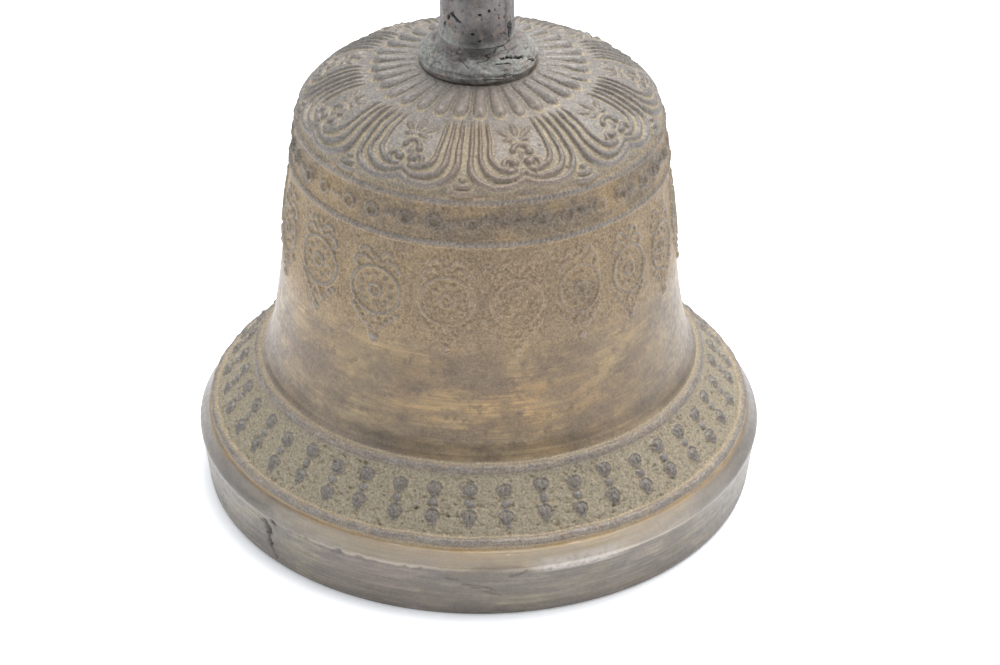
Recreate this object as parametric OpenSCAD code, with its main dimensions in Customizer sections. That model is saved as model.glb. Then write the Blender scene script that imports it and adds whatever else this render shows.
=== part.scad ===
// Tibetan-style hand bell: a cast bronze bell on its mouth, a handle of turned
// and cast sections on one through rod, and a clapper hung from a forged ring.
// The origin is the centre of the mouth plane, +Z runs up the handle.

/* [Bell] */
// Radius of the bell at its widest, the corner of the rim
rim_r = 45; // [42:0.5:48]
// Height of the rim's outer corner above the mouth plane
rim_corner_h = 9.3; // [8.5:0.1:10]
// How far the rim's foot is drawn in below that corner
rim_foot_inset = 1.6; // [1:0.1:2]
// Width of the mouth's flat edge
rim_edge_w = 3.6; // [3:0.1:4.5]
// Radius of the bell's body at its narrowest
waist_r = 30.6; // [30:0.1:31.5]
// Height of the flat on the crown, where the handle stands
crown_h = 71.2; // [70.5:0.1:72]
// Thickness of the crown round the rod
crown_t = 4.2; // [3.5:0.1:5]

/* [Handle] */
// Radius of the domed collar where the handle meets the crown
collar_r = 9.1; // [8.5:0.1:9.5]
// Height of the collar
collar_h = 4.5; // [4:0.1:5]
// Radius of the plain neck
neck_r = 5.5; // [5.2:0.1:5.8]
// Height of the plain neck above the collar
neck_h = 10.5; // [10:0.5:13]
// Height of each bead ring
bead_ring_h = 3; // [2.5:0.1:3.5]
// Height of each lotus
lotus_h = 8; // [7:0.5:9]
// Height of the lobed grip between the two lotuses
grip_h = 22; // [20:1:26]
// Largest radius of the grip
grip_r = 8.6; // [8:0.1:9.5]
// Thickness of the disc under the prongs
base_h = 4; // [3:0.5:5]
// Height of the finial's side prongs, hub to tip
prong_h = 38; // [34:1:42]
// Greatest distance of a side prong's centre line from the axis
prong_reach = 12; // [11:0.5:14]
// Radius of the through rod
rod_r = 2; // [1.8:0.1:2.2]

/* [Hanger and clapper] */
// Centre-line radius of the eye at the rod's lower end
eye_r = 4; // [3.8:0.1:4.2]
// Wire radius of the eye
eye_wire = 1.1; // [1:0.05:1.15]
// Centre-line radius of the hanger ring
ring_r = 5; // [4.8:0.1:5.2]
// Wire radius of the hanger ring
ring_wire = 1; // [0.9:0.05:1.05]
// Centre-line radius of the loop at the top of the clapper
loop_r = 3.6; // [3.4:0.1:3.8]
// Wire radius of the clapper's loop
loop_wire = 1.1; // [1:0.05:1.15]
// Radius of the clapper's bob
bob_r = 8; // [7.5:0.1:8.5]
// Height of the bob's centre above the mouth plane
bob_z = 10.6; // [10:0.1:11]

/* [Hidden] */
$fn = 96;

bronze = [0.52, 0.45, 0.37];
dark_metal = [0.42, 0.39, 0.39];
iron = [0.30, 0.25, 0.22];

// Running gap between parts that slide or hang on each other
gap = 0.05;
rod_bore_r = rod_r + gap;

// Heights up the handle, each section standing on the one below it
neck_z = crown_h + collar_h;
lower_bead_z = neck_z + neck_h;
lower_lotus_z = lower_bead_z + bead_ring_h;
grip_z = lower_lotus_z + lotus_h;
upper_bead_z = grip_z + grip_h;
upper_lotus_z = upper_bead_z + bead_ring_h;
base_z = upper_lotus_z + lotus_h;
prong_z = base_z + base_h;
tip_z = prong_z + prong_h;
cap_h = 6.2;
rod_top_z = prong_z + 14;

// Hanger, worked out downwards from the underside of the crown
under_crown_z = crown_h - crown_t;
washer_h = 1.2;
nut_h = 3;
nut_z = under_crown_z - washer_h - nut_h;
eye_z = nut_z - 0.8 - eye_r - eye_wire;
ring_z = eye_z - eye_r + eye_wire + gap + ring_wire - ring_r;
pivot_z = ring_z - ring_r;
loop_z = pivot_z + ring_wire + gap + loop_wire - loop_r;

// Clapper
stem_r = 1.7;
bob_flat = 0.6;
bob_bottom_z = bob_z - bob_r + bob_flat;
bob_top_z = bob_z + bob_r - bob_flat;
stem_bottom_z = bob_bottom_z - 0.7;

// Bell outline from the mouth up: rim, chamfer, two ridges with the sloping band
// between them, waist, shoulder and crown
rim_foot_r = rim_r - rim_foot_inset;
bell_outside = [
    [rim_foot_r, 0],
    [rim_foot_r + 0.5, 0.6],
    [rim_r - 0.3, 8],
    [rim_r, rim_corner_h],
    [rim_r - 2.1, 12],
    [rim_r - 2.5, 12.7],
    [rim_r - 3.1, 12.9],
    [rim_r - 8.8, 19.6],
    [waist_r + 5.2, 20.4],
    [waist_r + 4.5, 20.9],
    [waist_r + 3.6, 21.8],
    [waist_r + 2.6, 24],
    [waist_r + 1.7, 28],
    [waist_r + 0.9, 33],
    [waist_r + 0.3, 38],
    [waist_r - 0.1, 43],
    [waist_r - 0.8, 49],
    [waist_r - 1.8, 55.8],
    [waist_r - 2.7, 62.2],
    [waist_r - 3.6, 64.4],
    [waist_r - 5.6, 66.6],
    [waist_r - 9.1, 68.6],
    [waist_r - 14.2, 70],
    [collar_r + 1, crown_h],
    [0, crown_h]
];
// Bell outline inside, from the crown down to the mouth
bell_inside = [
    [0, under_crown_z],
    [9, under_crown_z],
    [16, 65.9],
    [20.5, 64],
    [waist_r - 7.3, 61],
    [waist_r - 5.6, 56],
    [waist_r - 4.4, 50],
    [waist_r - 3.4, 42],
    [waist_r - 2.7, 33],
    [waist_r - 1.6, 26],
    [waist_r + 0.2, 21.5],
    [waist_r + 2.9, 17.5],
    [rim_r - 6.8, 11],
    [rim_foot_r - rim_edge_w, 6],
    [rim_foot_r - rim_edge_w, 0]
];

module ring_of_wire(center_r, wire_r) {
    rotate([90, 0, 0])
        rotate_extrude()
            translate([center_r, 0])
                circle(r = wire_r, $fn = 48);
}

// A turned section: outline points are [radius, height above z], with the rod's bore
module turned(z, outline, bore_r = rod_bore_r) {
    h = outline[len(outline) - 1][1];
    translate([0, 0, z])
        rotate_extrude()
            polygon(concat([[bore_r, 0]], outline, [[bore_r, h]]));
}

module bell_body() {
    color(bronze)
        difference() {
            rotate_extrude()
                polygon(concat(bell_outside, bell_inside));
            translate([0, 0, under_crown_z - 1])
                cylinder(r = rod_bore_r, h = crown_t + 2);
        }
}

module handle_collar() {
    color(dark_metal)
        turned(crown_h, [
            [collar_r - 0.3, 0],
            [collar_r, 0.5],
            [collar_r, 1.1],
            [collar_r - 0.5, 1.9],
            [collar_r - 1.6, 2.9],
            [neck_r + 0.9, 4],
            [neck_r + 0.4, collar_h]
        ]);
}

module handle_neck() {
    color(dark_metal)
        turned(neck_z, [
            [neck_r + 0.4, 0],
            [neck_r + 0.1, 1.2],
            [neck_r, 3],
            [neck_r, neck_h]
        ]);
}

module bead_ring(z) {
    color(dark_metal)
        turned(z, [
            [neck_r + 0.6, 0],
            [neck_r + 1.9, bead_ring_h * 0.25],
            [neck_r + 2.2, bead_ring_h * 0.5],
            [neck_r + 1.9, bead_ring_h * 0.75],
            [neck_r + 0.6, bead_ring_h]
        ]);
}

module lower_bead_ring() {
    bead_ring(lower_bead_z);
}

module upper_bead_ring() {
    bead_ring(upper_bead_z);
}

// The lower lotus opens downwards, the upper one upwards
module lower_lotus() {
    color(dark_metal)
        turned(lower_lotus_z, [
            [neck_r + 2.2, 0],
            [neck_r + 4.4, 0.8],
            [neck_r + 4.6, 2],
            [neck_r + 3.2, 4.5],
            [neck_r + 1.2, 6.6],
            [neck_r + 0.6, lotus_h]
        ]);
}

module upper_lotus() {
    color(dark_metal)
        turned(upper_lotus_z, [
            [neck_r + 0.6, 0],
            [neck_r + 1.2, 1.4],
            [neck_r + 3.4, 3.5],
            [neck_r + 4.8, 6],
            [neck_r + 4.6, 7.2],
            [neck_r + 3, lotus_h]
        ]);
}

module grip() {
    color(dark_metal)
        turned(grip_z, [
            [neck_r + 0.4, 0],
            [grip_r - 1.6, grip_h * 0.12],
            [grip_r - 0.2, grip_h * 0.35],
            [grip_r, grip_h * 0.5],
            [grip_r - 0.2, grip_h * 0.65],
            [grip_r - 1.6, grip_h * 0.88],
            [neck_r + 0.4, grip_h]
        ]);
}

module finial_base() {
    color(dark_metal)
        turned(base_z, [
            [neck_r + 2.6, 0],
            [neck_r + 3.6, 0.8],
            [neck_r + 3.6, 1.6],
            [neck_r + 2.6, 2.4],
            [neck_r + 1.8, base_h]
        ]);
}

// One side prong: an arc that leaves the base, bows out and comes back to the spike.
// Its chord runs from the foot to the tip, and leans in by prong_lean.
prong_wire = 1.7;
prong_foot_r = 5.2;
prong_tip_r = 3.4;
prong_lean = atan((prong_foot_r - prong_tip_r) / prong_h);
prong_bow = prong_reach - (prong_foot_r + prong_tip_r) / 2;
prong_arc_r = (prong_h * prong_h / 4 + prong_bow * prong_bow) / (2 * prong_bow);
prong_span = asin(prong_h / 2 / prong_arc_r);
module prong(turn) {
    color(dark_metal)
        rotate([0, 0, turn])
            intersection() {
                translate([prong_reach - prong_bow, 0, prong_z + prong_h / 2])
                    rotate([0, -prong_lean, 0])
                        translate([prong_bow - prong_arc_r, 0, 0])
                            rotate([90, 0, 0])
                                rotate([0, 0, -prong_span - 6])
                                    rotate_extrude(angle = 2 * prong_span + 12)
                                        translate([prong_arc_r, 0])
                                            circle(r = prong_wire, $fn = 48);
                translate([0, -5, prong_z])
                    cube([prong_reach + 5, 10, prong_h]);
            }
}

module prong_front() {
    prong(-90);
}

module prong_right() {
    prong(0);
}

module prong_back() {
    prong(90);
}

module prong_left() {
    prong(180);
}

// The central spike screws down on the rod and holds the handle together
spike_foot_r = 2.9;
spike_top_r = 1.4;
module center_prong() {
    color(dark_metal)
        difference() {
            translate([0, 0, prong_z])
                rotate_extrude()
                    polygon([
                        [0, 0],
                        [spike_foot_r, 0],
                        [spike_foot_r, 10],
                        [spike_foot_r + 0.8, 16],
                        [spike_foot_r - 0.3, 22],
                        [spike_top_r, 30],
                        [spike_top_r, prong_h + 2],
                        [0, prong_h + 2]
                    ]);
            translate([0, 0, prong_z - 1])
                cylinder(r = rod_bore_r, h = rod_top_z - prong_z + 1.2);
        }
}

// Jewel that closes the finial: it sits on the prongs' tips, round the spike's end
module finial_cap() {
    color(dark_metal)
        difference() {
            translate([0, 0, tip_z])
                rotate_extrude()
                    polygon([
                        [0, 0],
                        [4.2, 0],
                        [5.1, 0.6],
                        [5.1, 1.2],
                        [4, 2],
                        [3.6, 2.4],
                        [3.7, 3],
                        [2.9, 4.4],
                        [1.2, 5.6],
                        [0.4, cap_h],
                        [0, cap_h]
                    ]);
            translate([0, 0, tip_z - 1])
                cylinder(r = spike_top_r, h = 3);
        }
}

module handle_rod() {
    color(iron) {
        translate([0, 0, eye_z + eye_r])
            cylinder(r = rod_r, h = rod_top_z - eye_z - eye_r);
        translate([0, 0, eye_z])
            ring_of_wire(eye_r, eye_wire);
    }
}

module crown_washer() {
    color(iron)
        translate([0, 0, under_crown_z - washer_h])
            difference() {
                cylinder(r = 7, h = washer_h);
                translate([0, 0, -1])
                    cylinder(r = rod_bore_r, h = washer_h + 2);
            }
}

module crown_nut() {
    nut_w = 9;
    color(iron)
        translate([0, 0, nut_z])
            difference() {
                translate([-nut_w / 2, -nut_w / 2, 0])
                    cube([nut_w, nut_w, nut_h]);
                translate([0, 0, -1])
                    cylinder(r = rod_bore_r, h = nut_h + 2);
            }
}

module hanger_ring() {
    color(iron)
        translate([0, 0, ring_z])
            rotate([0, 0, 90])
                ring_of_wire(ring_r, ring_wire);
}

module clapper_stem() {
    color(iron) {
        translate([0, 0, loop_z])
            ring_of_wire(loop_r, loop_wire);
        translate([0, 0, stem_bottom_z])
            cylinder(r = stem_r, h = loop_z - loop_r - stem_bottom_z);
    }
}

// Collar ring that closes the bob's upper end round the stem
collar_ring_h = 2.4;
module clapper_collar() {
    color(iron)
        turned(bob_top_z, [
            [stem_r + 2.2, 0],
            [stem_r + 2.6, 0.7],
            [stem_r + 2.2, 1.5],
            [stem_r + 1, collar_ring_h]
        ], stem_r);
}

module clapper_bob() {
    color(iron)
        difference() {
            translate([0, 0, bob_z])
                sphere(r = bob_r);
            translate([-bob_r, -bob_r, bob_top_z])
                cube([2 * bob_r, 2 * bob_r, bob_r]);
            translate([-bob_r, -bob_r, bob_bottom_z - bob_r])
                cube([2 * bob_r, 2 * bob_r, bob_r]);
            translate([0, 0, bob_z - bob_r - 1])
                cylinder(r = stem_r, h = 2 * bob_r + 2);
        }
}

// Peened head under the bob
rivet_h = 1.6;
module clapper_rivet() {
    color(iron)
        difference() {
            translate([0, 0, bob_bottom_z - rivet_h])
                cylinder(r1 = 1.8, r2 = 2.8, h = rivet_h);
            translate([0, 0, stem_bottom_z])
                cylinder(r = stem_r, h = rivet_h);
        }
}

bell_body();
handle_collar();
handle_neck();
lower_bead_ring();
lower_lotus();
grip();
upper_bead_ring();
upper_lotus();
finial_base();
prong_front();
prong_right();
prong_back();
prong_left();
center_prong();
finial_cap();
handle_rod();
crown_washer();
crown_nut();
hanger_ring();
clapper_stem();
clapper_collar();
clapper_bob();
clapper_rivet();
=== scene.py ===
"""Hand bell: the looks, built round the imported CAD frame.

Lengths in this file are millimetres until a mesh is made, which turns them into metres.
A bell surface point is given by its turn (0 at the front, 1 all the way round) and by s,
the distance along the outline from the collar's edge down to the foot of the rim.
"""

import math

import bmesh
import bpy
import numpy as np
from mathutils import Matrix, Vector


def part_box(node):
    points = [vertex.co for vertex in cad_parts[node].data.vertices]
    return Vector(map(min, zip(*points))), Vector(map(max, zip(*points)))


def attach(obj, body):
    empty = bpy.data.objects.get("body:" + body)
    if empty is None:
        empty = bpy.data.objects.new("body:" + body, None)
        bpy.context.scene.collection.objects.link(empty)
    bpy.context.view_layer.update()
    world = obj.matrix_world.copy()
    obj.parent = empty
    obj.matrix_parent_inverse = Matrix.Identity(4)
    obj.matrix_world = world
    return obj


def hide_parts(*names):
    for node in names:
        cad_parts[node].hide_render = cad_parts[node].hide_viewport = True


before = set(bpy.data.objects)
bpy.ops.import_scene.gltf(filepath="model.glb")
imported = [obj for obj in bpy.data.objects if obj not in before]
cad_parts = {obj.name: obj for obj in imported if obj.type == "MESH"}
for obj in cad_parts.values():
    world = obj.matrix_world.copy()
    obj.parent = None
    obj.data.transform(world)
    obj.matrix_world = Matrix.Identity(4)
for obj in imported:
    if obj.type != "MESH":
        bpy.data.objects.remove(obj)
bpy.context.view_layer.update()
MM = 0.001
TAU = 2 * math.pi


def node_box(node):
    """Lowest and highest corners of a CAD node, in millimetres."""
    low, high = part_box(node)
    return low / MM, high / MM


# ---------------------------------------------------------------- camera, light, floor

def make_camera():
    """A 100 mm lens a little over 400 mm away, looking down on the bell from the front."""
    elevation = math.radians(31.63)
    target = Vector((3.33, 0, 23.05)) * MM
    distance = 446.5 * MM
    back = Vector((0, -math.cos(elevation), math.sin(elevation)))
    data = bpy.data.cameras.new("camera")
    data.lens = 100.8
    data.sensor_width = 36
    data.clip_start = 0.01
    data.clip_end = 20
    camera = bpy.data.objects.new("camera", data)
    bpy.context.scene.collection.objects.link(camera)
    tilt = Matrix.Rotation(math.pi / 2 - elevation, 4, "X")
    roll = Matrix.Rotation(math.radians(0.418), 4, "Z")
    camera.matrix_world = Matrix.Translation(target + back * distance) @ tilt @ roll
    bpy.context.scene.camera = camera


def add_softbox(name, place, size, power, tint=(1, 1, 1)):
    """A square softbox that faces the middle of the bell. place is in metres."""
    data = bpy.data.lights.new(name, "AREA")
    data.shape = "SQUARE"
    data.size = size
    data.energy = power
    data.color = tint
    lamp = bpy.data.objects.new(name, data)
    bpy.context.scene.collection.objects.link(lamp)
    lamp.location = place
    aim = Vector((0, 0, 0.05)) - lamp.location
    lamp.rotation_euler = aim.to_track_quat("-Z", "Y").to_euler()


def make_light():
    """A white room that the bell reflects, with one large softbox above and two beside it."""
    world = bpy.data.worlds.new("studio")
    world.use_nodes = True
    background = world.node_tree.nodes["Background"]
    background.inputs["Color"].default_value = (1, 1, 1, 1)
    background.inputs["Strength"].default_value = 0.60
    seen = world.node_tree.nodes.new("ShaderNodeBackground")
    seen.inputs["Strength"].default_value = 1.05
    path = world.node_tree.nodes.new("ShaderNodeLightPath")
    mix = world.node_tree.nodes.new("ShaderNodeMixShader")
    link = world.node_tree.links.new
    link(path.outputs["Is Camera Ray"], mix.inputs["Fac"])
    link(background.outputs[0], mix.inputs[1])
    link(seen.outputs[0], mix.inputs[2])
    link(mix.outputs[0], world.node_tree.nodes["World Output"].inputs["Surface"])
    bpy.context.scene.world = world
    add_softbox("softbox_top", (0.14, 0.26, 1.05), 1.0, 22)
    add_softbox("softbox_left", (-1.0, -0.2, 0.45), 0.7, 2.7, (0.80, 0.91, 1.0))
    add_softbox("softbox_right", (1.0, -0.1, 0.45), 0.7, 2.8)


def make_floor():
    """A plain white table top that reaches 8 metres out, far past the view."""
    side = 8.0
    data = bpy.data.meshes.new("table_top")
    corners = [(-side, -side, 0), (side, -side, 0), (side, side, 0), (-side, side, 0)]
    data.from_pydata(corners, [], [(0, 1, 2, 3)])
    floor = bpy.data.objects.new("table_top", data)
    bpy.context.scene.collection.objects.link(floor)
    material = bpy.data.materials.new("table_top")
    material.use_nodes = True
    shader = material.node_tree.nodes["Principled BSDF"]
    shader.inputs["Base Color"].default_value = (0.94, 0.96, 1.0, 1)
    shader.inputs["Roughness"].default_value = 0.9
    shader.inputs["Emission Color"].default_value = (1, 1, 1, 1)
    shader.inputs["Emission Strength"].default_value = 0.16
    data.materials.append(material)


# ---------------------------------------------------------------- shape helpers

def smooth(low, high, x):
    """0 below low, 1 above high, and an S curve between."""
    t = share((x - low) / (high - low))
    return t * t * (3 - 2 * t)


def window(low, top, fall, end, x):
    """1 between top and fall, 0 outside low and end, and S curves between."""
    return smooth(low, top, x) * (1 - smooth(fall, end, x))


def share(x):
    """The value kept between 0 and 1."""
    return np.clip(x, 0, 1)


def near(x, middle, spread):
    """A bell curve: 1 at the middle and about a third at one spread from it."""
    return np.exp(-((x - middle) / spread) ** 2)


def raise_to(height, shape):
    """Lifts the relief to a shape where that is higher, in place."""
    np.maximum(height, shape, out=height)


def along_outline(points):
    """Distance of each point of an outline from its start."""
    return np.concatenate([[0], np.cumsum(np.hypot(*np.diff(points, axis=0).T))])


def ridge(distance, half_width):
    """A rounded ridge's height, 1 on its line and 0 from half_width out."""
    return share(1 - (distance / half_width) ** 2) ** 0.8


def mound(x, y, half_x, half_y):
    """A rounded oval mound, 1 in the middle."""
    return share(1 - (x / half_x) ** 2 - (y / half_y) ** 2) ** 0.7


def ring(x, y, radius, half_width):
    """A raised circle."""
    return ridge(np.hypot(x, y) - radius, half_width)


def noise(turn, s, around, pitch, seed, octaves=3):
    """Smooth gradient noise, about -1 to 1, that closes round the axis. The first octave has
    `around` cells in a turn and one cell each `pitch` along s."""
    turn, s = np.broadcast_arrays(turn, s)
    total = np.zeros(s.shape)
    weight = 1.0
    full = 0.0
    for octave in range(octaves):
        y = (s - s.min()) / pitch
        x = (turn % 1.0) * around
        column = np.floor(x).astype(int)
        row = np.floor(y).astype(int)
        fx = x - column
        fy = y - row
        heading = np.random.default_rng(seed + 101 * octave).uniform(0, TAU, (row.max() + 2, around))
        lean_x = np.cos(heading)
        lean_y = np.sin(heading)
        sides = []
        for down in (0, 1):
            corners = []
            for right in (0, 1):
                at = (row + down, (column + right) % around)
                corners.append(lean_x[at] * (fx - right) + lean_y[at] * (fy - down))
            blend_x = fx * fx * fx * (fx * (fx * 6 - 15) + 10)
            sides.append(corners[0] + (corners[1] - corners[0]) * blend_x)
        blend_y = fy * fy * fy * (fy * (fy * 6 - 15) + 10)
        total += weight * (sides[0] + (sides[1] - sides[0]) * blend_y)
        full += weight
        weight *= 0.55
        around *= 2
        pitch /= 2
    return total / full * 2.2


def noise_round(turn, around, seed, octaves):
    """The same noise, varying only round the axis."""
    return noise(turn, turn * 0, around, 1.0, seed, octaves)


def distance_to(x, y, path):
    """Distance from each point to a line through the path's points."""
    nearest = np.full(x.shape, 1e9)
    for (ax, ay), (bx, by) in zip(path[:-1], path[1:]):
        dx, dy = bx - ax, by - ay
        t = np.clip(((x - ax) * dx + (y - ay) * dy) / max(dx * dx + dy * dy, 1e-12), 0, 1)
        np.minimum(nearest, np.hypot(x - ax - t * dx, y - ay - t * dy), out=nearest)
    return nearest


def degrees(turn):
    """Angle from the front, -180 to 180."""
    return ((turn + 0.5) % 1.0 - 0.5) * 360


def sideways(turn, radius):
    """Distance round from the front at a radius, in millimetres."""
    return degrees(turn) * math.radians(1) * radius


def rounded(points, step, reach):
    """The outline through the points, in steps, with its corners rounded over `reach`.
    reach is one length, or a function of the distance along the outline."""
    points = np.array(points, float)
    along = along_outline(points)
    t = np.arange(0, along[-1] + step / 2, step)
    fine = np.stack([np.interp(t, along, points[:, k]) for k in (0, 1)], -1)
    spread = reach(t) if callable(reach) else np.full(len(t), float(reach))
    result = fine.copy()
    for i in range(1, len(t) - 1):
        width = min(spread[i], t[i], t[-1] - t[i])
        n = int(width / step)
        if n > 0:
            weights = np.hanning(2 * n + 3)[1:-1]
            result[i] = weights @ fine[i - n:i + n + 1] / weights.sum()
    return result


def grid_mesh(name, points, closed=True):
    """A solid from a grid of points in millimetres, rows by columns, that closes across its
    columns, and across its rows too where closed. Otherwise its first and last rows are poles.
    Its UV map unrolls it."""
    rows, columns, _ = points.shape
    index = np.arange(rows * columns).reshape(rows, columns)
    below = np.roll(index, -1, 0)
    faces = np.stack([index, below, np.roll(below, -1, 1), np.roll(index, -1, 1)], -1)
    strips = rows if closed else rows - 1
    faces = faces[:strips].reshape(-1, 4)
    mesh = bpy.data.meshes.new(name)
    mesh.vertices.add(rows * columns)
    mesh.vertices.foreach_set("co", (points * MM).reshape(-1).astype(np.float32))
    mesh.loops.add(len(faces) * 4)
    mesh.loops.foreach_set("vertex_index", faces.reshape(-1).astype(np.int32))
    mesh.polygons.add(len(faces))
    mesh.polygons.foreach_set("loop_start", np.arange(0, len(faces) * 4, 4, dtype=np.int32))
    mesh.polygons.foreach_set("use_smooth", np.ones(len(faces), bool))
    mesh.update(calc_edges=True)
    steps = np.linalg.norm(np.roll(points, -1, 0) - points, axis=-1).mean(1) + 1e-9
    v = np.concatenate([[0], np.cumsum(steps)]) / steps.sum()
    u = np.arange(columns + 1) / columns
    corner_u = np.broadcast_to(np.array([u[:-1], u[:-1], u[1:], u[1:]]).T, (strips, columns, 4))
    corner_v = np.array([v[:-1], v[1:], v[1:], v[:-1]]).T[:strips, None, :]
    corner_v = np.broadcast_to(corner_v, (strips, columns, 4))
    layer = mesh.uv_layers.new(name="OFBake")
    layer.uv.foreach_set("vector", np.stack([corner_u, corner_v], -1).reshape(-1).astype(np.float32))
    piece = bpy.data.objects.new(name, mesh)
    bpy.context.scene.collection.objects.link(piece)
    return piece


def weld_poles(piece, rows, columns):
    """Makes the first and last rows of a grid one point each."""
    work = bmesh.new()
    work.from_mesh(piece.data)
    work.verts.ensure_lookup_table()
    poles = [[work.verts[start + k] for k in range(columns)] for start in (0, (rows - 1) * columns)]
    for pole in poles:
        bmesh.ops.pointmerge(work, verts=pole, merge_co=pole[0].co)
    work.to_mesh(piece.data)
    work.free()


def around_axis(radius, height, turn):
    """Points of a turned grid: turn 0 is at the front and goes round by the right."""
    angle = TAU * turn
    return np.stack([radius * np.sin(angle), -radius * np.cos(angle), height], -1)


def paint(piece, name, *channels):
    """Stores up to four masks, one value per vertex, as a colour attribute."""
    attribute = piece.data.color_attributes.new(name, "FLOAT_COLOR", "POINT")
    values = np.zeros((len(piece.data.vertices), 4), np.float32)
    for k, channel in enumerate(channels):
        values[:, k] = np.clip(channel, 0, 1).reshape(-1)
    attribute.data.foreach_set("color", values.reshape(-1))


def outward(radius, height):
    """Unit normals of an outline, pointing away from the metal."""
    dr = np.gradient(radius)
    dz = np.gradient(height)
    length = np.hypot(dr, dz) + 1e-12
    return -dz / length, dr / length


# ---------------------------------------------------------------- the bell's outline

LOW, HIGH = node_box("bell_body")
RIM_R = HIGH.x
CROWN_H = HIGH.z
FOOT_R = RIM_R - 1.6
WAIST_R = 30.6
CROWN_T = 4.2
EDGE_W = 3.6
COLLAR_R = node_box("handle_collar")[1].x
BORE_R = 2.05

OUTSIDE = [
    (COLLAR_R, CROWN_H),
    (WAIST_R - 14.2, 69.8),
    (WAIST_R - 9.1, 68.2),
    (WAIST_R - 5.6, 66.2),
    (WAIST_R - 3.6, 64.4),
    (WAIST_R - 2.7, 62.2),
    (WAIST_R - 1.8, 55.8),
    (WAIST_R - 0.8, 49.0),
    (WAIST_R - 0.1, 43.0),
    (WAIST_R + 0.3, 38.0),
    (WAIST_R + 0.9, 33.0),
    (WAIST_R + 1.7, 28.0),
    (WAIST_R + 2.6, 24.0),
    (WAIST_R + 3.6, 21.9),
    (WAIST_R + 5.2, 20.1),
    (RIM_R - 2.4, 12.3),
    (RIM_R, 9.3),
    (RIM_R - 0.3, 8.0),
    (FOOT_R + 0.5, 0.7),
    (FOOT_R, 0.0),
]
INSIDE = [
    (FOOT_R - EDGE_W, 0),
    (FOOT_R - EDGE_W, 6),
    (RIM_R - 6.8, 11),
    (WAIST_R + 2.9, 17.5),
    (WAIST_R + 0.2, 21.5),
    (WAIST_R - 1.6, 26),
    (WAIST_R - 2.7, 33),
    (WAIST_R - 3.4, 42),
    (WAIST_R - 4.4, 50),
    (WAIST_R - 5.6, 56),
    (WAIST_R - 7.3, 61),
    (20.5, 64),
    (16, 65.9),
    (9, CROWN_H - CROWN_T),
    (BORE_R + 0.3, CROWN_H - CROWN_T),
]

# Where each zone of the relief lies along s
GADROON_END = 7.6
PETAL_TOP = 8.1
PETAL_END = 20.4
UPPER_ROPE = 21.9
CHAIN = 25.2
LOWER_ROPE = 28.4
MEDALLION = 37.4
RELIEF_END = 46.0
INNER_RIDGE = 64.3
BAND = (65.0, 74.7)
OUTER_RIDGE = 75.2
RIM_CORNER = 79.7

# The outline's radius there, which turns an angle into a distance
PETAL_R = 22.0
PILE_R = 25
CHAIN_R = 28.3
MEDALLION_R = 30

OUTLINE_STEP = 0.05
INNER_ROWS = 120
INNER_LENGTH = 90
COLUMNS = 1440
GADROONS = 33
PETALS = 9
PETAL_TURN = 15.1 / 360
MEDALLIONS = 18
STRANDS = 230
BUDS = 44


def outline_rows():
    """The outer outline's rows, close together where the relief is fine."""
    curve = rounded(OUTSIDE, OUTLINE_STEP, lambda t: np.where(t < 60, 2.2, 0.42))
    length = along_outline(curve)
    spans = [
        (0, RELIEF_END, 0.19),
        (RELIEF_END, INNER_RIDGE - 1.5, 0.42),
        (INNER_RIDGE - 1.5, RIM_CORNER + 5.0, 0.17),
        (RIM_CORNER + 5.0, length[-1] - 0.8, 0.3),
        (length[-1] - 0.8, length[-1], 0.2),
    ]
    rows = np.concatenate([np.linspace(a, b, round((b - a) / step), endpoint=False)
                           for a, b, step in spans] + [[length[-1]]])
    return rows, np.interp(rows, length, curve[:, 0]), np.interp(rows, length, curve[:, 1])


# ---------------------------------------------------------------- the bell's relief

def turn_offset(turn, count, phase):
    """Signed distance in turns from the nearest of `count` evenly spaced places, and its number."""
    place = (turn - phase) * count
    number = np.round(place)
    return (place - number) / count, number.astype(int) % count


def gadroons(turn, s, radius):
    """Plump ribs that fan out from the collar and end in rounded heads."""
    offset, number = turn_offset(turn, GADROONS, 0.6 / 360)
    uneven = 0.12 * np.sin(number * 2.4) + 0.1 * np.sin(number * 5.1 + 1)
    across = offset * TAU * radius + 0.1 * noise(turn, s, 70, 3.0, 21, 2)
    t = share(s / GADROON_END)
    half = math.pi / GADROONS * radius * (0.66 + 0.1 * t + 0.25 * uneven)
    end = np.clip((s - GADROON_END + 1.7 + 0.8 * uneven) / 1.6, 0, None)
    size = share(1 - (across / half) ** 2 - end ** 2) ** 0.85
    return size * (0.22 + 0.88 * t ** 1.3) * (1 + uneven)


def petal_rib(half_width, bottom, corner, rise, top=PETAL_TOP + 0.4):
    """One side of a petal's rib: down the side, round the corner and up to the cusp."""
    bend = np.radians(np.linspace(0, 90, 8))
    side = [(half_width, top), (half_width, bottom - corner)]
    turned = [(half_width - corner * (1 - math.cos(a)), bottom - corner * (1 - math.sin(a)))
              for a in bend[1:]]
    lobe = [((half_width - corner) * (1 - t), bottom - rise * t ** 2.4)
            for t in np.linspace(0, 1, 7)[1:]]
    return side + turned + lobe


def curl(center_x, center_y, start_r, end_r, start, sweep, steps=14):
    """A spiral. Angles in degrees, 0 towards +x and 90 towards +y, down the bell."""
    return [(center_x + (start_r + (end_r - start_r) * t) * math.cos(math.radians(start + sweep * t)),
             center_y + (start_r + (end_r - start_r) * t) * math.sin(math.radians(start + sweep * t)))
            for t in np.linspace(0, 1, steps)]


# A plain palmette inside each petal: leaves as (x, y, heading in degrees, length, width)
PALMETTE = [
    (0.0, 10.4, 90, 1.75, 0.72),
    (-1.75, 11.1, 38, 1.6, 0.62),
    (1.75, 11.1, 142, 1.6, 0.62),
    (-1.15, 12.4, -8, 1.1, 0.42),
    (1.15, 12.4, 188, 1.1, 0.42),
]


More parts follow.
